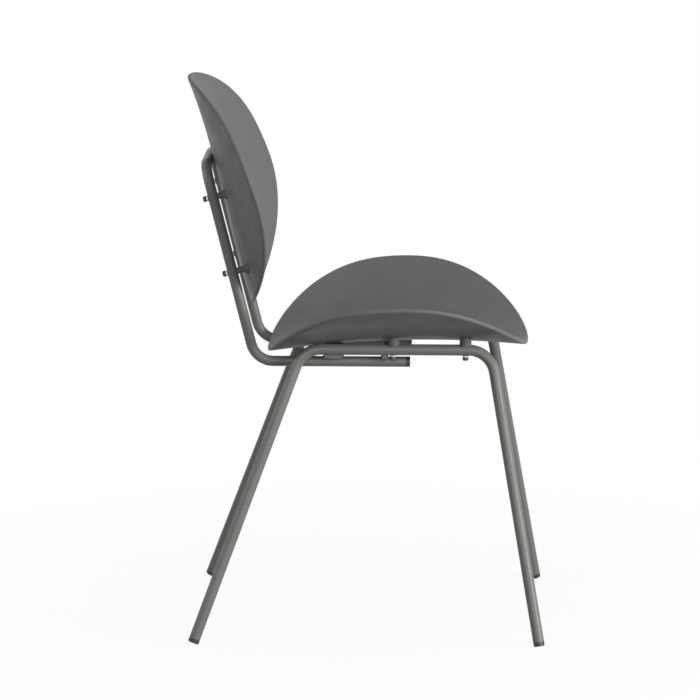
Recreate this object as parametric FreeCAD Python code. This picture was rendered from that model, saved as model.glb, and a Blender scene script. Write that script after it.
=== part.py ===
import FreeCAD, Part
import math
import os

# Side chair with a moulded back shell and a moulded seat shell on a bent round tube frame.
# All sizes are millimetres. +X points to the front of the chair, +Y to its left, +Z up.
# The chair is mirrored about the plane Y = 0 and stands on the floor plane Z = 0.

Vector = FreeCAD.Vector
UP = Vector(0, 0, 1)
ORIGIN = Vector(0, 0, 0)

# Tubes
side_tube_diameter = 16.0
side_tube_wall = 1.5
back_tube_diameter = 15.0
back_tube_wall = 1.5

# Side frames: each is one tube, bent into front leg, seat rail and rear leg
rail_height = 413.5
rail_half_spacing = 102.5
rail_front_corner = 177.0
rail_rear_corner = -94.0
side_bend_radius = 38.0
leg_splay = 13.8
front_leg_rake = 9.9
rear_leg_rake = 20.5

# Back frame: one tube, two legs under the seat, two leaning uprights and a top bar
back_half_spacing = 84.0
back_leg_height = 392.3
back_leg_front_end = 54.8
back_lean = 14.1
back_corner_x = -162.5
back_bend_radius = 33.0
top_bar_rise = 292.5
top_bend_radius = 30.0

# Crossbars between the rails and the back frame's legs
rear_crossbar_x = -50.0
rear_crossbar_width = 25.0
front_crossbar_x = 24.0
front_crossbar_width = 6.0
weld_clearance = 0.02

# Seat shell: a dish across, slightly crowned from front to rear
seat_length = 380.0
seat_width = 456.5
seat_middle_x = 41.8
seat_crown_x = 92.0
seat_rail_gap = 0.3
seat_crown_drop = 11.6
seat_side_rise = 77.3
seat_rear_power = 2.45
seat_front_power = 2.35
seat_thickness = 6.0

# Back shell: its ridge stands between the uprights and its wings come forward
back_width = 400.0
back_shell_bottom = 71.5
back_shell_top = 417.0
back_shell_waist = 239.0
back_wing_depth = 59.0
back_wing_curl_top = 0.31
back_wing_curl_bottom = 0.93
back_upper_power = 2.12
back_lower_power = 1.69
back_shell_thickness = 6.0
ridge_at_bottom = 8.6
ridge_at_lower_third = 6.3
ridge_at_upper_third = 8.0
ridge_at_top = -0.2

rim_radius = 2.5
surface_margin = 8.0
surface_points = 9
outline_points = 28

# Bosses under the seat shell and behind the back shell
back_boss_diameter = 9.0
back_boss_flare_radius = 4.0
back_bolt_low = 134.3
back_bolt_high = 246.3
seat_boss_diameter = 17.0
seat_bolt_front_x = 140.6
seat_bolt_rear_x = 36.6
boss_wrap = 1.5
boss_clearance = 0.1
insert_diameter = 6.5
insert_length = 6.0
insert_recess = 0.6

# Socket head bolts with a spring washer and a flat washer
bolt_diameter = 5.0
bolt_hole_clearance = 0.5
bolt_head_diameter = 8.5
bolt_head_height = 5.0
bolt_head_edge = 0.8
bolt_socket_size = 4.0
bolt_socket_depth = 2.6
bolt_engagement = 5.5
thread_clearance = 0.05
washer_diameter = 9.0
washer_thickness = 0.9
spring_washer_diameter = 8.2
spring_washer_thickness = 1.2
spring_washer_slit = 1.0

# Foot plugs and end caps
plug_collar = 6.5
plug_spigot = 18.0
plug_edge = 1.2
plug_clearance = 0.05
floor_flat_depth = 0.7
cap_collar = 6.0
cap_spigot = 16.0
cap_edge = 0.8

# Sides of the chair
LEFT = 1
RIGHT = -1
SIDES = ((LEFT, "left"), (RIGHT, "right"))

side_radius = side_tube_diameter / 2
back_radius = back_tube_diameter / 2
rail_top = rail_height + side_radius
rail_bottom = rail_height - side_radius
back_leg_top = back_leg_height + back_radius
lean_sine = math.sin(math.radians(back_lean))
lean_cosine = math.cos(math.radians(back_lean))


def lean_point(rise, y, forward):
    """Point in the leaning frame of the uprights.

    rise runs up the uprights from their corner with the legs, y is across the chair
    and forward is square to the plane of the uprights.
    """
    x = back_corner_x - rise * lean_sine + forward * lean_cosine
    z = back_leg_height + rise * lean_cosine + forward * lean_sine
    return Vector(x, y, z)


def lean_direction(rise, y, forward):
    """Direction with the same three components as lean_point."""
    return lean_point(rise, y, forward) - lean_point(0, 0, 0)


def toward(start, end):
    """Unit direction from one point to another."""
    return (end - start).normalize()


def bent_path(corners, radii):
    """Wire of straight runs through the corners, joined by tangent arcs."""
    edges = []
    run_start = corners[0]
    for before, corner, after, radius in zip(corners, corners[1:], corners[2:], radii):
        back_way = toward(corner, before)
        on_way = toward(corner, after)
        half_angle = back_way.getAngle(on_way) / 2
        tangent = radius / math.tan(half_angle)
        arc_start = corner + back_way * tangent
        arc_end = corner + on_way * tangent
        middle_way = (back_way + on_way).normalize()
        arc_middle = corner + middle_way * (radius / math.sin(half_angle) - radius)
        edges.append(Part.LineSegment(run_start, arc_start).toShape())
        edges.append(Part.Arc(arc_start, arc_middle, arc_end).toShape())
        run_start = arc_end
    edges.append(Part.LineSegment(run_start, corners[-1]).toShape())
    return Part.Wire(edges)


def swept_rod(corners, radii, radius):
    """Solid round rod that follows a bent path."""
    path = bent_path(corners, radii)
    profile = Part.Wire([Part.Circle(corners[0], toward(corners[0], corners[1]), radius).toShape()])
    return path.makePipeShell([profile], True, False)


def bent_tube(corners, radii, diameter, wall):
    """Hollow round tube that follows a bent path."""
    outside = swept_rod(corners, radii, diameter / 2)
    inside = swept_rod(corners, radii, diameter / 2 - wall)
    return outside.cut(inside)


def rod(start, direction, length, radius):
    """Plain cylinder from a point along a direction."""
    return Part.makeCylinder(radius, length, start, direction)


def turned(start, direction, outline):
    """Turned piece: outline is a list of (distance along the axis, radius) corners."""
    points = [Vector(radius, 0, along) for along, radius in outline]
    profile = Part.Face(Part.makePolygon(points + [points[0]]))
    piece = profile.revolve(ORIGIN, UP, 360)
    return placed(piece, start, direction)


def placed(shape, start, direction):
    """The shape with its Z axis laid along a direction from a point."""
    piece = shape.copy()
    piece.Placement = FreeCAD.Placement(start, FreeCAD.Rotation(UP, direction)).multiply(piece.Placement)
    return piece


# Side frames

def leg_foot_direction(side, rake, rearward):
    """Unit direction of a leg from its corner at the rail down to the floor."""
    slant = math.tan(math.radians(rake))
    if rearward:
        slant = -slant
    return Vector(slant, side * math.tan(math.radians(leg_splay)), -1).normalize()


def leg_tilt_sine(direction):
    """Sine of the angle between a leg and the vertical."""
    return math.sqrt(1 - direction.z * direction.z)


def leg_lengths(direction):
    """Lengths along a leg, from the rail's corner to the tube's end and to the plug's end."""
    plug_end_height = side_radius * leg_tilt_sine(direction) - floor_flat_depth
    plug_end = (rail_height - plug_end_height) / -direction.z
    return plug_end - plug_collar, plug_end


def rail_corner(side, rearward):
    """Corner where a leg's axis meets the rail's axis."""
    if rearward:
        return Vector(rail_rear_corner, side * rail_half_spacing, rail_height)
    return Vector(rail_front_corner, side * rail_half_spacing, rail_height)


def leg_end(side, rearward):
    """Centre of the tube's end at a foot, and the leg's direction."""
    rake = rear_leg_rake if rearward else front_leg_rake
    direction = leg_foot_direction(side, rake, rearward)
    tube_length, _ = leg_lengths(direction)
    return rail_corner(side, rearward) + direction * tube_length, direction


def side_frame_corners(side):
    """Corners of a side frame's axis from the rear foot to the front foot."""
    rear_end, _ = leg_end(side, True)
    front_end, _ = leg_end(side, False)
    return [rear_end, rail_corner(side, True), rail_corner(side, False), front_end]


def seat_bolt_points(side):
    """Points on a rail's axis where the two seat bolts pass."""
    for x in (seat_bolt_front_x, seat_bolt_rear_x):
        yield Vector(x, side * rail_half_spacing, rail_height)


def bolt_passage(start, direction, length):
    """Clearance hole for a bolt."""
    return rod(start, direction, length, (bolt_diameter + bolt_hole_clearance) / 2)


def side_frame(side):
    """One side frame with its bolt holes."""
    frame = bent_tube(side_frame_corners(side), [side_bend_radius] * 2, side_tube_diameter, side_tube_wall)
    for point in seat_bolt_points(side):
        frame = frame.cut(bolt_passage(point - UP * side_tube_diameter, UP, 2 * side_tube_diameter))
    return frame


def foot_plug(side, rearward):
    """Black plug pushed into a leg, cut flat where its low edge meets the floor."""
    start, direction = leg_end(side, rearward)
    bore = side_radius - side_tube_wall - plug_clearance
    outline = [
        (-plug_spigot, 0),
        (-plug_spigot, bore - plug_edge),
        (-plug_spigot + 2 * plug_edge, bore),
        (0, bore),
        (0, side_radius),
        (plug_collar - plug_edge, side_radius),
        (plug_collar, side_radius - plug_edge),
        (plug_collar, 0),
    ]
    plug = turned(start, direction, outline)
    room = 4 * side_tube_diameter
    above_floor = Part.makeBox(2 * room, 2 * room, room, Vector(start.x - room, start.y - room, 0))
    return plug.common(above_floor)


# Back frame

def back_frame_corners():
    """Corners of the back frame's axis from the left leg's end to the right leg's end."""
    left = back_half_spacing
    return [
        Vector(back_leg_front_end, left, back_leg_height),
        lean_point(0, left, 0),
        lean_point(top_bar_rise, left, 0),
        lean_point(top_bar_rise, -left, 0),
        lean_point(0, -left, 0),
        Vector(back_leg_front_end, -left, back_leg_height),
    ]


def back_bolt_places():
    """Rise and side of the four bolts in the uprights."""
    for rise in (back_bolt_low, back_bolt_high):
        for side, _ in SIDES:
            yield rise, side


def forward_direction():
    """Unit direction square to the plane of the uprights, towards the shell."""
    return lean_direction(0, 0, 1)


def back_frame():
    """The back frame with its four bolt holes."""
    radii = [back_bend_radius, top_bend_radius, top_bend_radius, back_bend_radius]
    frame = bent_tube(back_frame_corners(), radii, back_tube_diameter, back_tube_wall)
    for rise, side in back_bolt_places():
        start = lean_point(rise, side * back_half_spacing, -back_tube_diameter)
        frame = frame.cut(bolt_passage(start, forward_direction(), 2 * back_tube_diameter))
    return frame


def back_end_cap(side):
    """Black cap pushed into the front end of one of the back frame's legs."""
    start = Vector(back_leg_front_end, side * back_half_spacing, back_leg_height)
    bore = back_radius - back_tube_wall - plug_clearance
    outline = [
        (-cap_spigot, 0),
        (-cap_spigot, bore - cap_edge),
        (-cap_spigot + 2 * cap_edge, bore),
        (0, bore),
        (0, back_radius),
        (cap_collar - cap_edge, back_radius),
        (cap_collar, back_radius - cap_edge),
        (cap_collar, 0),
    ]
    return turned(start, Vector(1, 0, 0), outline)


def crossbar(middle_x, width):
    """Flat bar welded under both rails and onto both legs of the back frame."""
    bottom = back_leg_top + weld_clearance
    height = rail_bottom - weld_clearance - bottom
    corner = Vector(middle_x - width / 2, -rail_half_spacing, bottom)
    return Part.makeBox(width, 2 * rail_half_spacing, height, corner)


# Shells

def fitted_surface(height, first_range, second_range):
    """Smooth surface through points that a height function gives over two ranges."""
    rows = []
    spans = surface_points - 1
    for i in range(surface_points):
        first = first_range[0] + (first_range[1] - first_range[0]) * i / spans
        row = []
        for j in range(surface_points):
            second = second_range[0] + (second_range[1] - second_range[0]) * j / spans
            row.append(height(first, second))
        rows.append(row)
    surface = Part.BSplineSurface()
    surface.interpolate(rows)
    return surface.toShape()


def oval_wire(middle, half_before, half_after, half_width, power_before, power_after, place):
    """Closed smooth outline whose two ends may differ in length and roundness."""
    points = []
    for i in range(outline_points):
        angle = 2 * math.pi * i / outline_points
        along = math.cos(angle)
        across = math.sin(angle)
        power = power_after if along >= 0 else power_before
        half_length = half_after if along >= 0 else half_before
        u = middle + half_length * math.copysign(abs(along) ** (2 / power), along)
        v = half_width * math.copysign(abs(across) ** (2 / power), across)
        points.append(place(u, v))
    curve = Part.BSplineCurve()
    curve.interpolate(points, PeriodicFlag=True)
    return Part.Wire([curve.toShape()])


def inner_point(face_point, first, second, thickness):
    """Point under a face, measured square to the face."""
    step = 0.5
    first_way = face_point(first + step, second) - face_point(first - step, second)
    second_way = face_point(first, second + step) - face_point(first, second - step)
    return face_point(first, second) - first_way.cross(second_way).normalize() * thickness


def shell_body(near_point, far_point, along, across, outline, direction, reach):
    """Solid between a near face and a far face, inside an outline drawn along a direction."""
    column = Part.Face(outline).extrude(direction * reach)
    beyond = direction * (2 * reach)
    past_near = fitted_surface(near_point, along, across).extrude(beyond)
    past_far = fitted_surface(far_point, along, across).extrude(beyond)
    return column.common(past_near).cut(past_far)


def rounded_rim(shell):
    """The shell with the two long edges of its rim rounded."""
    longest = max(edge.Length for edge in shell.Edges)
    rim = [edge for edge in shell.Edges if edge.Length > longest / 2]
    return shell.makeFillet(rim_radius, rim).Solids[0]


def seat_rise(x, y):
    """Height of the seat's sitting face above its crown."""
    crown = seat_crown_drop * ((x - seat_crown_x) / (seat_length / 2)) ** 2
    dish = seat_side_rise * (y / (seat_width / 2)) ** 2
    return dish - crown


def seat_crown_height():
    """Height of the seat's crown, set by where its underside comes closest to the rails."""
    slope = 2 * seat_side_rise * rail_half_spacing / (seat_width / 2) ** 2
    square_distance = side_radius + seat_rail_gap + seat_thickness
    leg = leg_foot_direction(LEFT, rear_leg_rake, True)
    bend = leg.getAngle(Vector(-1, 0, 0))
    bend_start = rail_rear_corner + side_bend_radius * math.tan(bend / 2)
    return rail_height + square_distance * math.hypot(1, slope) - seat_rise(bend_start, rail_half_spacing)


def seat_top_height(x, y):
    """Height of the seat's sitting face."""
    return seat_crown_height() + seat_rise(x, y)


def seat_top_point(x, y):
    """Point on the seat's sitting face."""
    return Vector(x, y, seat_top_height(x, y))


def seat_underside_point(x, y):
    """Point on the seat's underside."""
    return inner_point(seat_top_point, x, y, seat_thickness)


def seat_body():
    """Seat shell without its bosses."""
    half_length = seat_length / 2
    half_width = seat_width / 2
    along = (seat_middle_x - half_length - surface_margin, seat_middle_x + half_length + surface_margin)
    across = (-half_width - surface_margin, half_width + surface_margin)
    outline = oval_wire(
        seat_middle_x, half_length, half_length, half_width,
        seat_rear_power, seat_front_power, lambda u, v: Vector(u, v, 0),
    )
    reach = seat_crown_height() + 2 * seat_side_rise
    return shell_body(seat_underside_point, seat_top_point, along, across, outline, UP, reach)


def seat_boss(point):
    """Boss under the seat that sits astride the rail."""
    start = point + UP * (side_radius - boss_wrap)
    top = seat_top_height(point.x, point.y) - seat_thickness / 2
    boss = rod(start, UP, top - start.z, seat_boss_diameter / 2)
    axis_start = Vector(point.x - seat_boss_diameter, point.y, point.z)
    rail = rod(axis_start, Vector(1, 0, 0), 2 * seat_boss_diameter, side_radius + boss_clearance)
    return boss.cut(rail)


def seat_shell():
    """Seat shell with four bosses, each hollowed for its threaded insert."""
    seat = seat_body()
    hollow = side_radius + insert_recess + insert_length
    for side, _ in SIDES:
        for point in seat_bolt_points(side):
            seat = seat.fuse(seat_boss(point))
            seat = seat.cut(rod(point, UP, hollow, insert_diameter / 2))
    return rounded_rim(seat)


def ridge_stand_off(rise):
    """Distance of the back shell's rear face in front of the uprights' axis, on the middle plane."""
    stations = (
        back_shell_bottom,
        back_shell_bottom + (back_shell_top - back_shell_bottom) / 3,
        back_shell_bottom + (back_shell_top - back_shell_bottom) * 2 / 3,
        back_shell_top,
    )
    values = (ridge_at_bottom, ridge_at_lower_third, ridge_at_upper_third, ridge_at_top)
    total = 0.0
    for i, value in enumerate(values):
        weight = 1.0
        for j, station in enumerate(stations):
            if j != i:
                weight *= (rise - station) / (stations[i] - station)
        total += value * weight
    return total


def wing_curvature(rise):
    """How strongly the wings come forward at a height, per square of the distance from the middle."""
    base = back_wing_depth / (back_width / 2) ** 2
    above = (rise - back_shell_waist) / (back_shell_top - back_shell_waist)
    linear = (back_wing_curl_top - back_wing_curl_bottom) / 2
    square = (back_wing_curl_top + back_wing_curl_bottom) / 2
    return base * (1 + linear * above + square * above * above)


def back_rear_face(rise, y):
    """Point on the rear face of the back shell."""
    return lean_point(rise, y, ridge_stand_off(rise) + wing_curvature(rise) * y * y)


def back_front_face(rise, y):
    """Point on the front face of the back shell."""
    return inner_point(back_rear_face, rise, y, back_shell_thickness)


def back_body():
    """Back shell without its bosses."""
    half_width = back_width / 2
    along = (back_shell_bottom - surface_margin, back_shell_top + surface_margin)
    across = (-half_width - surface_margin, half_width + surface_margin)
    behind = -2 * back_tube_diameter
    outline = oval_wire(
        back_shell_waist, back_shell_waist - back_shell_bottom, back_shell_top - back_shell_waist,
        half_width, back_lower_power, back_upper_power, lambda u, v: lean_point(u, v, behind),
    )
    reach = 4 * back_wing_depth
    return shell_body(
        back_rear_face, back_front_face, along, across, outline, forward_direction(), reach,
    )


def back_boss(rise, side):
    """Boss behind the back shell, flared where it grows out of the shell, with its insert's hollow."""
    y = side * back_half_spacing
    start = back_radius - boss_wrap
    shell_face = ridge_stand_off(rise) + wing_curvature(rise) * y * y - start
    radius = back_boss_diameter / 2
    flare = back_boss_flare_radius
    inside = shell_face + back_shell_thickness / 2
    outline = [(0, 0), (0, radius), (shell_face - flare, radius)]
    outline += [(shell_face, radius + flare), (inside, radius + flare), (inside, 0)]
    boss = turned(lean_point(rise, y, start), forward_direction(), outline)
    upright = rod(lean_point(0, y, 0), lean_direction(1, 0, 0), top_bar_rise, back_radius + boss_clearance)
    hollow = back_radius + insert_recess + insert_length
    return boss.cut(upright).cut(rod(lean_point(rise, y, 0), forward_direction(), hollow, insert_diameter / 2))


def back_shell():
    """Back shell with its four bosses."""
    shell = back_body()
    for rise, side in back_bolt_places():
        shell = shell.fuse(back_boss(rise, side))
    return rounded_rim(shell)


# Fasteners

def threaded_insert(start, direction, length):
    """Brass insert with two knurl grooves and a bore for the bolt."""
    radius = insert_diameter / 2
    bore = bolt_diameter / 2 + thread_clearance
    groove = 0.4
    band = length / 5
    outline = [(0, bore), (0, radius)]
    for i in (1, 3):
        outline += [
            (i * band, radius), (i * band, radius - groove),
            ((i + 1) * band, radius - groove), ((i + 1) * band, radius),
        ]
    outline += [(length, radius), (length, bore)]
    return turned(start, direction, outline)


def socket_bolt(start, direction, length):
    """Socket head bolt; start is the underside of its head and direction points to its tip."""
    head_radius = bolt_head_diameter / 2
    outline = [
        (-bolt_head_height, 0),
        (-bolt_head_height, head_radius - bolt_head_edge),
        (-bolt_head_height + bolt_head_edge, head_radius),
        (0, head_radius),
        (0, bolt_diameter / 2),
        (length - bolt_head_edge, bolt_diameter / 2),
        (length, bolt_diameter / 2 - bolt_head_edge),
        (length, 0),
    ]
    bolt = turned(start, direction, outline)
    corner_radius = bolt_socket_size / math.sqrt(3)
    corners = []
    for i in range(7):
        angle = math.radians(60 * i)
        corners.append(Vector(corner_radius * math.cos(angle), corner_radius * math.sin(angle), 0))
    socket = Part.Face(Part.makePolygon(corners)).extrude(UP * bolt_socket_depth)
    return bolt.cut(placed(socket, start - direction * bolt_head_height, direction))


def ring(start, direction, diameter, thickness):
    """Flat ring around a bolt."""
    outer = rod(start, direction, thickness, diameter / 2)
    inner = rod(start, direction, thickness, (bolt_diameter + bolt_hole_clearance) / 2)
    return outer.cut(inner)


def spring_ring(start, direction):
    """Spring washer: a ring with a slit."""
    washer = ring(start, direction, spring_washer_diameter, spring_washer_thickness)
    slit = Part.makeBox(
        spring_washer_diameter, spring_washer_slit, spring_washer_thickness,
        Vector(0, -spring_washer_slit / 2, 0),
    )
    return washer.cut(placed(slit, start, direction))


def fastener_stack(surface_point, direction, insert_end):
    """Flat washer, spring washer and bolt, stacked on the point where they bear on a tube."""
    flat = ring(surface_point - direction * washer_thickness, direction, washer_diameter, washer_thickness)
    spring_start = surface_point - direction * (washer_thickness + spring_washer_thickness)
    spring = spring_ring(spring_start, direction)
    bolt = socket_bolt(spring_start, direction, (insert_end - spring_start).Length)
    return flat, spring, bolt


def seat_fasteners():
    """Washers, spring washers, bolts and inserts of the seat."""
    flats, springs, bolts, inserts = [], [], [], []
    for side, _ in SIDES:
        for point in seat_bolt_points(side):
            bearing = Vector(point.x, point.y, rail_bottom)
            tip = Vector(point.x, point.y, rail_top + insert_recess + bolt_engagement)
            flat, spring, bolt = fastener_stack(bearing, UP, tip)
            flats.append(flat)
            springs.append(spring)
            bolts.append(bolt)
            foot = Vector(point.x, point.y, rail_top + insert_recess)
            inserts.append(threaded_insert(foot, UP, insert_length))
    return flats, springs, bolts, inserts


def back_fasteners():
    """Washers, spring washers, bolts and inserts of the back shell."""
    flats, springs, bolts, inserts = [], [], [], []
    forward = forward_direction()
    for rise, side in back_bolt_places():
        y = side * back_half_spacing
        bearing = lean_point(rise, y, -back_radius)
        tip = lean_point(rise, y, back_radius + insert_recess + bolt_engagement)
        flat, spring, bolt = fastener_stack(bearing, forward, tip)
        flats.append(flat)
        springs.append(spring)
        bolts.append(bolt)
        foot = lean_point(rise, y, back_radius + insert_recess)
        inserts.append(threaded_insert(foot, forward, insert_length))
    return flats, springs, bolts, inserts


def all_pieces():
    """Every named piece of the chair as a dictionary of shapes."""
    pieces = {"seat_shell": seat_shell(), "back_shell": back_shell(), "back_frame": back_frame()}
    pieces["rear_crossbar"] = crossbar(rear_crossbar_x, rear_crossbar_width)
    pieces["front_crossbar"] = crossbar(front_crossbar_x, front_crossbar_width)
    for side, side_name in SIDES:
        pieces["side_frame_" + side_name] = side_frame(side)
        pieces["foot_plug_rear_" + side_name] = foot_plug(side, True)
        pieces["foot_plug_front_" + side_name] = foot_plug(side, False)
        pieces["back_frame_end_cap_" + side_name] = back_end_cap(side)
    for place, groups in (("seat", seat_fasteners()), ("back", back_fasteners())):
        flats, springs, bolts, inserts = groups
        pieces[place + "_flat_washers"] = Part.makeCompound(flats)
        pieces[place + "_spring_washers"] = Part.makeCompound(springs)
        pieces[place + "_bolts"] = Part.makeCompound(bolts)
        pieces[place + "_threaded_inserts"] = Part.makeCompound(inserts)
    return pieces


def centred(pieces):
    """The pieces moved along X so that the chair's box is centred on the origin."""
    boxes = [shape.optimalBoundingBox(False) for shape in pieces.values()]
    middle = (min(box.XMin for box in boxes) + max(box.XMax for box in boxes)) / 2
    shift = Vector(-middle, 0, 0)
    return {name: shape.translated(shift) for name, shape in pieces.items()}


os.makedirs("parts", exist_ok=True)
for name, shape in centred(all_pieces()).items():
    box = shape.optimalBoundingBox(False)
    print(name, len(shape.Solids), "solid", "valid" if shape.isValid() else "NOT VALID",
          "volume %.0f" % shape.Volume,
          "x %.1f %.1f" % (box.XMin, box.XMax), "y %.1f %.1f" % (box.YMin, box.YMax),
          "z %.2f %.2f" % (box.ZMin, box.ZMax))
    shape.exportStep("parts/" + name + ".step")
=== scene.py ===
import enum
import logging
import math
from dataclasses import dataclass, field
from typing import Dict, List, Optional, Sequence, Tuple

import bmesh
import bpy
from mathutils import Matrix, Vector


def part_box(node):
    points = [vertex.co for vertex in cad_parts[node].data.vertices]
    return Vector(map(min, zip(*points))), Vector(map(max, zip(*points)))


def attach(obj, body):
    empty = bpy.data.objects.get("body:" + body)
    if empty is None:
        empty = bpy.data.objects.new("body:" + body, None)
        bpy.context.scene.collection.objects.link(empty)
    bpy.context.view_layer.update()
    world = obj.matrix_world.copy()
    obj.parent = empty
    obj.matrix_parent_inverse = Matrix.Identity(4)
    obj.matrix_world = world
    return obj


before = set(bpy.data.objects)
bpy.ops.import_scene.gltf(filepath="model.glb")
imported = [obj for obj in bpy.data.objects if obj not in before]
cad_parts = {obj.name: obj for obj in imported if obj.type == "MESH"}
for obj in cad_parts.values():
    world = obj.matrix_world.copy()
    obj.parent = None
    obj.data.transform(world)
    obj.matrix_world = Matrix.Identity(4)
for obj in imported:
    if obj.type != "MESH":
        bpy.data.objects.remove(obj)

Colour = Tuple[float, float, float]
Point = Tuple[float, float, float]
Links = bpy.types.NodeLinks

LOG = logging.getLogger("side_chair")


class RaySort(enum.Enum):
    """The kinds of ray that see the studio's own white instead of its lit colour."""

    CAMERA = "Is Camera Ray"
    GLOSSY = "Is Glossy Ray"
    TRANSMISSION = "Is Transmission Ray"


class GrainKind(enum.Enum):
    """How a surface's fine relief is made."""

    SPARK = "spark-eroded mould grain"
    PEEL = "orange peel of a powder coat"
    MACHINED = "turned or rolled metal"


# Node graphs


class Graph:
    """A small helper that adds and joins the nodes of one material or world."""

    def __init__(self, tree: bpy.types.NodeTree) -> None:
        """Empties a node tree and keeps it.

        Args:
            tree: The node tree to build in.
        """
        self.tree = tree
        self.tree.nodes.clear()
        self.links: Links = tree.links

    def add(self, kind: str, **values: object) -> bpy.types.Node:
        """Adds a node and sets its properties and sockets.

        Args:
            kind: The node's type name.
            values: Property values, or socket values under the socket's name with
                spaces written as underscores.

        Returns:
            The new node.
        """
        node = self.tree.nodes.new(kind)
        for name, value in values.items():
            socket = node.inputs.get(name.replace("_", " "))
            if socket is not None:
                socket.default_value = value
            else:
                setattr(node, name, value)
        return node

    def join(self, source: bpy.types.NodeSocket, target: bpy.types.NodeSocket) -> None:
        """Links an output socket to an input socket."""
        self.links.new(source, target)

    def ramp(self, source: bpy.types.NodeSocket,
             stops: Sequence[Tuple[float, Colour]]) -> bpy.types.NodeSocket:
        """Sends a value through a colour ramp.

        Args:
            source: The value.
            stops: Positions and colours of the ramp's stops.

        Returns:
            The ramp's colour socket.
        """
        node = self.add("ShaderNodeValToRGB")
        elements = node.color_ramp.elements
        while len(elements) < len(stops):
            elements.new(0.5)
        for element, (position, colour) in zip(elements, stops):
            element.position = position
            element.color = (*colour, 1.0)
        self.join(source, node.inputs["Fac"])
        return node.outputs["Color"]

    def remap(self, source: bpy.types.NodeSocket, low: float, high: float,
              start: float = 0.0, end: float = 1.0) -> bpy.types.NodeSocket:
        """Maps a value from one range to another.

        Args:
            source: The value.
            low: Result at start.
            high: Result at end.
            start: Value that gives low.
            end: Value that gives high.

        Returns:
            The mapped value's socket.
        """
        node = self.add("ShaderNodeMapRange")
        node.inputs["From Min"].default_value = start
        node.inputs["From Max"].default_value = end
        node.inputs["To Min"].default_value = low
        node.inputs["To Max"].default_value = high
        self.join(source, node.inputs["Value"])
        return node.outputs["Result"]

    def noise(self, place: bpy.types.NodeSocket, scale: float, detail: float = 3.0,
              roughness: float = 0.5) -> bpy.types.NodeSocket:
        """Adds a noise texture.

        Args:
            place: The coordinates it is read at.
            scale: Cells for each metre.
            detail: Number of octaves.
            roughness: Weight of each finer octave.

        Returns:
            The noise value's socket.
        """
        node = self.add("ShaderNodeTexNoise", Scale=scale, Detail=detail, Roughness=roughness)
        self.join(place, node.inputs["Vector"])
        return node.outputs["Fac"]

    def blend(self, share: bpy.types.NodeSocket, first: bpy.types.NodeSocket,
              second: bpy.types.NodeSocket, mode: str = "MIX") -> bpy.types.NodeSocket:
        """Mixes two colours.

        Args:
            share: How much of the second colour is used.
            first: The first colour.
            second: The second colour.
            mode: The blend mode.

        Returns:
            The mixed colour's socket.
        """
        node = self.add("ShaderNodeMix", data_type="RGBA", blend_type=mode)
        self.join(share, node.inputs["Factor"])
        self.join(first, node.inputs[6])
        self.join(second, node.inputs[7])
        return node.outputs[2]

    def reckon(self, operation: str, first: bpy.types.NodeSocket,
               second: Optional[bpy.types.NodeSocket] = None,
               number: float = 0.0) -> bpy.types.NodeSocket:
        """Does arithmetic on one value and another value or a number.

        Args:
            operation: The operation's name.
            first: The first value.
            second: The second value, or None to use the number.
            number: The number used where there is no second value.

        Returns:
            The result's socket.
        """
        node = self.add("ShaderNodeMath", operation=operation)
        self.join(first, node.inputs[0])
        if second is None:
            node.inputs[1].default_value = number
        else:
            self.join(second, node.inputs[1])
        return node.outputs[0]


# Finishes


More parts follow.
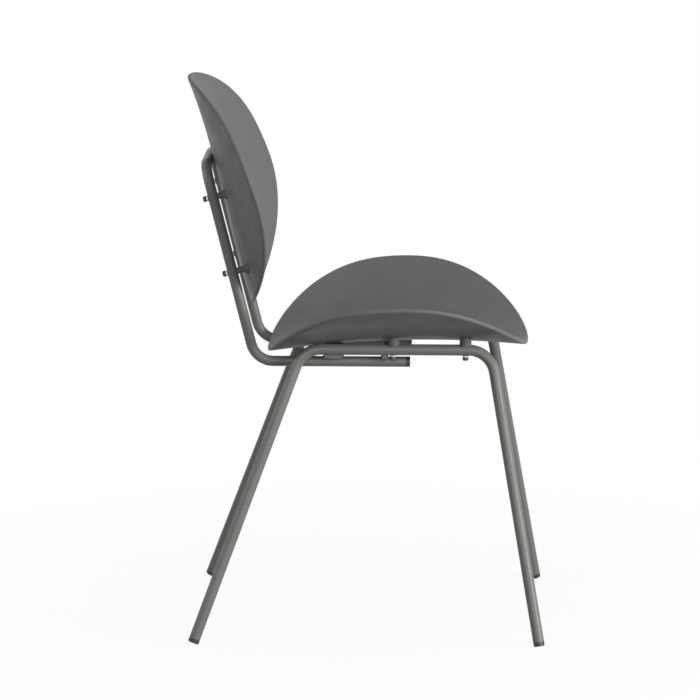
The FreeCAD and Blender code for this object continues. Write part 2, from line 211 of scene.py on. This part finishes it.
@dataclass(frozen=True)
class Finish:
    """A surface finish with grain, mottling, dust and rubbed edges."""

    name: str
    colour: Colour
    mottle: float = 0.06
    mottle_scale: float = 9.0
    roughness: float = 0.5
    roughness_spread: float = 0.08
    metallic: float = 0.0
    specular: float = 0.5
    grain: GrainKind = GrainKind.SPARK
    grain_scale: float = 2600.0
    grain_height: float = 0.00002
    waviness: float = 0.0
    dust: float = 0.05
    dust_colour: Colour = (0.42, 0.40, 0.37)
    rub: float = 0.0
    rub_colour: Colour = (0.30, 0.29, 0.28)
    speck_scale: float = 0.35
    speck_share: float = 0.15
    speck_gain: float = 1.35
    finer_grain: float = 0.4
    rolled_stretch: Point = (1.0, 1.0, 6.0)
    grain_strength: float = 0.35
    wave_strength: float = 0.25
    wave_scale: float = 14.0

    def scaled(self, factor: float) -> Colour:
        """The base colour, lighter or darker by a factor."""
        return tuple(min(1.0, part * factor) for part in self.colour)

    def base_colour(self, graph: Graph, place: bpy.types.NodeSocket) -> bpy.types.NodeSocket:
        """Colour with soft clouding, fine specks, settled dust and rubbed edges.

        Args:
            graph: The material's graph.
            place: Object coordinates.

        Returns:
            The colour's socket.
        """
        cloud = graph.noise(place, self.mottle_scale, 5.0, 0.6)
        low, high = self.scaled(1.0 - self.mottle), self.scaled(1.0 + self.mottle)
        colour = graph.ramp(cloud, [(0.3, low), (0.7, high)])
        speck = graph.noise(place, self.grain_scale * self.speck_scale, 2.0, 0.7)
        share = graph.remap(speck, 0.0, self.speck_share, 0.55, 0.8)
        pale = graph.add("ShaderNodeRGB")
        pale.outputs[0].default_value = (*self.scaled(self.speck_gain), 1.0)
        colour = graph.blend(share, colour, pale.outputs[0])
        if self.dust > 0.0:
            colour = self.dusted(graph, place, colour)
        if self.rub > 0.0:
            colour = self.rubbed(graph, place, colour)
        return colour

    def dusted(self, graph: Graph, place: bpy.types.NodeSocket,
               colour: bpy.types.NodeSocket) -> bpy.types.NodeSocket:
        """Adds thin dust on the faces that look up.

        Args:
            graph: The material's graph.
            place: Object coordinates.
            colour: The colour under the dust.

        Returns:
            The dusty colour's socket.
        """
        geometry = graph.add("ShaderNodeNewGeometry")
        split = graph.add("ShaderNodeSeparateXYZ")
        graph.join(geometry.outputs["Normal"], split.inputs[0])
        upward = graph.remap(split.outputs["Z"], 0.0, 1.0, 0.1, 0.95)
        patch = graph.remap(graph.noise(place, 22.0, 6.0, 0.65), 0.3, 1.0, 0.35, 0.7)
        share = graph.reckon("MULTIPLY", upward, patch)
        share = graph.reckon("MULTIPLY", share, number=self.dust)
        dust = graph.add("ShaderNodeRGB")
        dust.outputs[0].default_value = (*self.dust_colour, 1.0)
        return graph.blend(share, colour, dust.outputs[0])

    def rubbed(self, graph: Graph, place: bpy.types.NodeSocket,
               colour: bpy.types.NodeSocket) -> bpy.types.NodeSocket:
        """Adds a slightly paler tone where an edge is rubbed.

        Args:
            graph: The material's graph.
            place: Object coordinates.
            colour: The colour of the rest.

        Returns:
            The colour's socket.
        """
        geometry = graph.add("ShaderNodeNewGeometry")
        edge = graph.remap(geometry.outputs["Pointiness"], 0.0, 1.0, 0.53, 0.62)
        broken = graph.remap(graph.noise(place, 60.0, 5.0, 0.7), 0.2, 1.0, 0.35, 0.65)
        share = graph.reckon("MULTIPLY", edge, broken)
        share = graph.reckon("MULTIPLY", share, number=self.rub)
        rub = graph.add("ShaderNodeRGB")
        rub.outputs[0].default_value = (*self.rub_colour, 1.0)
        return graph.blend(share, colour, rub.outputs[0])

    def relief(self, graph: Graph, place: bpy.types.NodeSocket) -> bpy.types.NodeSocket:
        """Bumped normal of the fine grain.

        Args:
            graph: The material's graph.
            place: Object coordinates.

        Returns:
            The normal's socket.
        """
        if self.grain is GrainKind.MACHINED:
            stretch = graph.add("ShaderNodeMapping")
            stretch.inputs["Scale"].default_value = self.rolled_stretch
            graph.join(place, stretch.inputs["Vector"])
            height = graph.noise(stretch.outputs["Vector"], self.grain_scale, 2.0, 0.5)
        elif self.grain is GrainKind.PEEL:
            height = graph.noise(place, self.grain_scale, 1.5, 0.35)
        else:
            cells = graph.add("ShaderNodeTexVoronoi", feature="F1", Scale=self.grain_scale)
            graph.join(place, cells.inputs["Vector"])
            finer = graph.noise(place, self.grain_scale * self.finer_grain, 3.0)
            height = graph.reckon("ADD", cells.outputs["Distance"], finer)
        bump = graph.add("ShaderNodeBump", Strength=self.grain_strength, Distance=self.grain_height)
        graph.join(height, bump.inputs["Height"])
        if self.waviness <= 0.0:
            return bump.outputs["Normal"]
        wave = graph.add("ShaderNodeBump", Strength=self.wave_strength, Distance=self.waviness)
        graph.join(graph.noise(place, self.wave_scale, 2.0, 0.4), wave.inputs["Height"])
        graph.join(wave.outputs["Normal"], bump.inputs["Normal"])
        return bump.outputs["Normal"]

    def material(self) -> bpy.types.Material:
        """Builds the material.

        Returns:
            The material, ready to be put in a slot.
        """
        made = bpy.data.materials.new(self.name)
        made.use_nodes = True
        made.diffuse_color = (*self.colour, 1.0)
        graph = Graph(made.node_tree)
        place = graph.add("ShaderNodeTexCoord").outputs["Object"]
        shader = graph.add("ShaderNodeBsdfPrincipled", Metallic=self.metallic)
        shader.inputs["Specular IOR Level"].default_value = self.specular
        graph.join(self.base_colour(graph, place), shader.inputs["Base Color"])
        uneven = graph.noise(place, 35.0, 5.0, 0.6)
        rough = graph.remap(uneven, self.roughness - self.roughness_spread,
                            self.roughness + self.roughness_spread, 0.3, 0.7)
        graph.join(rough, shader.inputs["Roughness"])
        graph.join(self.relief(graph, place), shader.inputs["Normal"])
        output = graph.add("ShaderNodeOutputMaterial")
        graph.join(shader.outputs[0], output.inputs["Surface"])
        return made


SHELL_PLASTIC = Finish(
    name="moulded_shell_plastic", colour=(0.128, 0.124, 0.126), mottle=0.03,
    roughness=0.50, specular=0.14, grain=GrainKind.SPARK, grain_scale=2400.0,
    grain_height=0.00003, waviness=0.0006, dust=0.05,
)
FRAME_COAT = Finish(
    name="frame_powder_coat", colour=(0.140, 0.139, 0.131), mottle=0.05, mottle_scale=16.0,
    roughness=0.42, specular=0.3, grain=GrainKind.PEEL, grain_scale=900.0,
    grain_height=0.00004, dust=0.04,
)
BLACK_PLUG = Finish(
    name="black_plug_plastic", colour=(0.014, 0.014, 0.015), roughness=0.5,
    grain=GrainKind.SPARK, grain_scale=1800.0, dust=0.05, dust_colour=(0.12, 0.115, 0.11),
)
BLACK_OXIDE = Finish(
    name="bolt_black_oxide", colour=(0.020, 0.020, 0.021), metallic=0.6, roughness=0.38,
    grain=GrainKind.MACHINED, grain_scale=1500.0, dust=0.03, rub=0.5, rub_colour=(0.16, 0.16, 0.16),
)
ZINC_PLATE = Finish(
    name="washer_zinc_plate", colour=(0.48, 0.48, 0.49), metallic=0.9, roughness=0.36,
    grain=GrainKind.MACHINED, grain_scale=1300.0, dust=0.03,
)
TURNED_BRASS = Finish(
    name="insert_turned_brass", colour=(0.66, 0.49, 0.22), metallic=0.95, roughness=0.32,
    grain=GrainKind.MACHINED, grain_scale=1200.0, dust=0.0,
)


def dress(names: Sequence[str], made: bpy.types.Material) -> None:
    """Puts one material on several CAD nodes.

    Args:
        names: The nodes' names.
        made: The material.
    """
    for name in names:
        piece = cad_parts[name]
        for index in range(max(1, len(piece.material_slots))):
            if index < len(piece.material_slots):
                piece.material_slots[index].material = made
            else:
                piece.data.materials.append(made)
        LOG.info("%s wears %s", name, made.name)


# Sub-assemblies


@dataclass
class Shells:
    """The moulded seat shell and the moulded back shell."""

    finish: Finish = SHELL_PLASTIC
    nodes: Tuple[str, ...] = ("seat_shell", "back_shell")

    def dress(self) -> None:
        """Gives both shells their moulded plastic."""
        dress(self.nodes, self.finish.material())


@dataclass
class TubeFrames:
    """The two side frames, the back frame and the two crossbars."""

    finish: Finish = FRAME_COAT
    nodes: Tuple[str, ...] = (
        "side_frame_left", "side_frame_right", "back_frame", "rear_crossbar", "front_crossbar",
    )

    def dress(self) -> bpy.types.Material:
        """Gives the tubes and bars their powder coat.

        Returns:
            The coat, which the weld beads share.
        """
        coat = self.finish.material()
        dress(self.nodes, coat)
        return coat


@dataclass
class WeldBeads:
    """Weld beads where the crossbars meet the rails above and the back frame's legs below."""

    rail_half_spacing: float = 0.1025
    leg_half_spacing: float = 0.084
    bead_radius: float = 0.0016
    bead_length: float = 0.010
    ripple: float = 0.00028
    ripple_pitch: float = 0.0017
    rings_for_each_ripple: int = 6
    fewest_rings: int = 12
    around: int = 10
    taper_power: int = 6
    end_share: float = 0.02
    drift_share: float = 0.15
    stand_off: float = 0.3
    seed_step: float = 1.7

    def stations(self) -> int:
        """Number of rings along a bead, several for each ripple."""
        ripples = self.bead_length / self.ripple_pitch
        return max(self.fewest_rings, int(ripples * self.rings_for_each_ripple))

    def add_bead(self, form: bmesh.types.BMesh, middle: Vector, seed: float) -> None:
        """Adds one rippled bead that lies across the chair.

        Args:
            form: The mesh that takes it.
            middle: The bead's middle.
            seed: Shifts the ripples so that no two beads are alike.
        """
        rings: List[List[bmesh.types.BMVert]] = []
        count = self.stations()
        for i in range(count + 1):
            share = i / count
            along = (share - 0.5) * self.bead_length
            taper = math.sqrt(max(self.end_share, 1.0 - (2.0 * share - 1.0) ** self.taper_power))
            wave = self.ripple * math.sin(2.0 * math.pi * along / self.ripple_pitch + seed)
            radius = (self.bead_radius + wave) * taper
            ring = []
            for j in range(self.around):
                angle = 2.0 * math.pi * j / self.around
                drift = self.drift_share * self.bead_radius * math.sin(seed * 3.0 + 5.0 * share)
                ring.append(form.verts.new(middle + Vector((
                    radius * math.cos(angle) + drift, along, radius * math.sin(angle)))))
            rings.append(ring)
        for ring, after in zip(rings, rings[1:]):
            for j in range(self.around):
                k = (j + 1) % self.around
                form.faces.new((ring[j], ring[k], after[k], after[j]))
        form.faces.new(rings[0][::-1])
        form.faces.new(rings[-1])

    def build(self, bar: str, coat: bpy.types.Material) -> bpy.types.Object:
        """Builds the beads of one crossbar and rides them on the chair.

        Args:
            bar: The crossbar's node name.
            coat: The tubes' powder coat, which covers the beads.

        Returns:
            The beads as one object.
        """
        low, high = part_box(bar)
        form = bmesh.new()
        seed = 1.0
        for x in (low[0], high[0]):
            outward = -1.0 if x == low[0] else 1.0
            for side in (-1.0, 1.0):
                for half, z in ((self.rail_half_spacing - self.bead_length / 2, high[2]),
                                (self.leg_half_spacing, low[2])):
                    inward = -1.0 if z == high[2] else 1.0
                    step = self.stand_off * self.bead_radius
                    middle = Vector((x + outward * step, side * half, z + inward * step))
                    self.add_bead(form, middle, seed)
                    seed += self.seed_step
        mesh = bpy.data.meshes.new(bar + "_weld_beads")
        form.normal_update()
        form.to_mesh(mesh)
        form.free()
        mesh.shade_smooth()
        mesh.materials.append(coat)
        beads = bpy.data.objects.new(bar + "_weld_beads", mesh)
        bpy.context.scene.collection.objects.link(beads)
        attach(beads, "root")
        LOG.info("%s has %d vertices", beads.name, len(mesh.vertices))
        return beads


@dataclass
class PlugsAndCaps:
    """The black plugs in the feet and the black caps on the back frame's ends."""

    finish: Finish = BLACK_PLUG
    nodes: Tuple[str, ...] = (
        "foot_plug_rear_left", "foot_plug_rear_right", "foot_plug_front_left",
        "foot_plug_front_right", "back_frame_end_cap_left", "back_frame_end_cap_right",
    )

    def dress(self) -> None:
        """Gives the plugs and caps their black plastic."""
        dress(self.nodes, self.finish.material())


@dataclass
class Fasteners:
    """The bolts, washers and threaded inserts that hold the two shells."""

    bolt_finish: Finish = BLACK_OXIDE
    washer_finish: Finish = ZINC_PLATE
    insert_finish: Finish = TURNED_BRASS
    places: Tuple[str, ...] = ("seat", "back")

    def dress(self) -> None:
        """Gives each sort of fastener its metal."""
        dress([place + "_bolts" for place in self.places], self.bolt_finish.material())
        kinds = ("_flat_washers", "_spring_washers")
        washers = [place + kind for place in self.places for kind in kinds]
        dress(washers, self.washer_finish.material())
        dress([place + "_threaded_inserts" for place in self.places], self.insert_finish.material())


# Studio


@dataclass
class SoftLamp:
    """One square soft lamp."""

    name: str
    place: Point
    target: Point
    size: float
    power: float
    colour: Colour = (1.0, 1.0, 1.0)

    def build(self) -> bpy.types.Object:
        """Adds the lamp to the scene.

        Returns:
            The lamp's object.
        """
        lamp = bpy.data.lights.new(self.name, "AREA")
        lamp.shape = "SQUARE"
        lamp.size = self.size
        lamp.energy = self.power
        lamp.color = self.colour
        holder = bpy.data.objects.new(self.name, lamp)
        holder.location = self.place
        way = Vector(self.target) - Vector(self.place)
        holder.rotation_mode = "QUATERNION"
        holder.rotation_quaternion = way.to_track_quat("-Z", "Y")
        bpy.context.scene.collection.objects.link(holder)
        return holder


@dataclass
class Studio:
    """Pale floor, white surroundings and soft lamps."""

    floor_half: float = 9.0
    floor_colour: Colour = (0.07, 0.07, 0.071)
    white: Colour = (1.0, 1.0, 1.0)
    glow_near: float = 0.93
    glow_far: float = 1.0
    glow_start: float = 0.3
    glow_reach: float = 0.95
    surroundings: Colour = (0.02, 0.02, 0.02)
    lamps: Tuple[SoftLamp, ...] = field(default_factory=lambda: (
        SoftLamp("lamp_key", (3.0, -1.8, 1.1), (-0.05, 0.0, 0.55), 1.4, 150.0),
        SoftLamp("lamp_side", (0.3, -3.7, 1.6), (-0.05, 0.0, 0.45), 1.4, 48.0),
        SoftLamp("lamp_rear", (-2.7, -0.5, 1.5), (-0.05, 0.0, 0.5), 1.5, 30.0),
        SoftLamp("lamp_top", (0.2, 0.3, 2.9), (0.0, 0.0, 0.5), 1.6, 5.0),
    ))

    def white_share(self, graph: Graph) -> bpy.types.NodeSocket:
        """One for the rays that see the studio's white, otherwise zero.

        Args:
            graph: The graph to build in.

        Returns:
            The value's socket.
        """
        path = graph.add("ShaderNodeLightPath")
        share = path.outputs[RaySort.CAMERA.value]
        for sort in (RaySort.GLOSSY, RaySort.TRANSMISSION):
            share = graph.reckon("MAXIMUM", share, path.outputs[sort.value])
        return share

    def floor(self) -> bpy.types.Object:
        """Builds the floor, which keeps the chair's shadow.

        Returns:
            The floor's object.
        """
        half = self.floor_half
        mesh = bpy.data.meshes.new("studio_floor")
        corners = [(-half, -half, 0.0), (half, -half, 0.0), (half, half, 0.0), (-half, half, 0.0)]
        mesh.from_pydata(corners, [], [(0, 1, 2, 3)])
        made = bpy.data.materials.new("studio_floor_paint")
        made.use_nodes = True
        graph = Graph(made.node_tree)
        place = graph.add("ShaderNodeTexCoord").outputs["Object"]
        lit = graph.add("ShaderNodeBsdfDiffuse")
        own = graph.add("ShaderNodeRGB")
        own.outputs[0].default_value = (*self.floor_colour, 1.0)
        pale = graph.add("ShaderNodeRGB")
        pale.outputs[0].default_value = (*self.white, 1.0)
        share = self.white_share(graph)
        graph.join(graph.blend(share, own.outputs[0], pale.outputs[0]), lit.inputs["Color"])
        glow = graph.add("ShaderNodeEmission", Strength=1.0)
        glow.inputs["Color"].default_value = (*self.white, 1.0)
        distance = graph.add("ShaderNodeVectorMath", operation="LENGTH")
        graph.join(place, distance.inputs[0])
        rising = graph.remap(distance.outputs["Value"], self.glow_near, self.glow_far,
                             self.glow_start, self.glow_reach)
        mix = graph.add("ShaderNodeMixShader")
        graph.join(graph.reckon("MULTIPLY", share, rising), mix.inputs[0])
        graph.join(lit.outputs[0], mix.inputs[1])
        graph.join(glow.outputs[0], mix.inputs[2])
        output = graph.add("ShaderNodeOutputMaterial")
        graph.join(mix.outputs[0], output.inputs["Surface"])
        mesh.materials.append(made)
        floor = bpy.data.objects.new("studio_floor", mesh)
        bpy.context.scene.collection.objects.link(floor)
        return floor

    def world(self) -> None:
        """Sets the white surroundings and their soft light."""
        scene = bpy.context.scene
        scene.world = scene.world or bpy.data.worlds.new("studio")
        scene.world.use_nodes = True
        graph = Graph(scene.world.node_tree)
        share = self.white_share(graph)
        soft = graph.add("ShaderNodeBackground", Strength=1.0)
        soft.inputs["Color"].default_value = (*self.surroundings, 1.0)
        white = graph.add("ShaderNodeBackground", Strength=1.0)
        white.inputs["Color"].default_value = (*self.white, 1.0)
        mix = graph.add("ShaderNodeMixShader")
        graph.join(share, mix.inputs[0])
        graph.join(soft.outputs[0], mix.inputs[1])
        graph.join(white.outputs[0], mix.inputs[2])
        output = graph.add("ShaderNodeOutputWorld")
        graph.join(mix.outputs[0], output.inputs["Surface"])

    def build(self) -> None:
        """Builds the floor, the surroundings and the lamps."""
        self.floor()
        self.world()
        for lamp in self.lamps:
            lamp.build()
            LOG.info("%s gives %.0f W", lamp.name, lamp.power)
        view = bpy.context.scene.view_settings
        view.view_transform = "Standard"


@dataclass
class PhotoCamera:
    """Camera at the photograph's viewing angle."""

    place: Point = (0.15193, -5.86581, 1.53336)
    turn: float = -1.73
    dip: float = 11.0
    roll: float = 0.02
    sensor: float = 36.0
    lens: float = 209.95
    near_clip: float = 0.1
    far_clip: float = 60.0

    def build(self) -> bpy.types.Object:
        """Adds the camera and makes it the scene's.

        Returns:
            The camera's object.
        """
        data = bpy.data.cameras.new("photo_camera")
        data.sensor_width = self.sensor
        data.lens = self.lens
        data.clip_start = self.near_clip
        data.clip_end = self.far_clip
        turn, dip, roll = (math.radians(angle) for angle in (self.turn, self.dip, self.roll))
        level = math.cos(dip)
        ahead = Vector((math.sin(turn) * level, math.cos(turn) * level, -math.sin(dip)))
        right = Vector((math.cos(turn), -math.sin(turn), 0.0))
        up = right.cross(ahead)
        rolled_right = right * math.cos(roll) + up * math.sin(roll)
        rolled_up = up * math.cos(roll) - right * math.sin(roll)
        holder = bpy.data.objects.new("photo_camera", data)
        basis = Matrix((rolled_right, rolled_up, -ahead)).transposed()
        holder.matrix_world = Matrix.Translation(self.place) @ basis.to_4x4()
        bpy.context.scene.collection.objects.link(holder)
        bpy.context.scene.camera = holder
        return holder


def main() -> None:
    """Builds the camera, dresses each sub-assembly and sets up the studio."""
    logging.basicConfig(level=logging.INFO, format="%(message)s")
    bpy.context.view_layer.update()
    PhotoCamera().build()
    Shells().dress()
    coat = TubeFrames().dress()
    for bar in ("rear_crossbar", "front_crossbar"):
        WeldBeads().build(bar, coat)
    PlugsAndCaps().dress()
    Fasteners().dress()
    Studio().build()


if __name__ == "__main__":
    main()
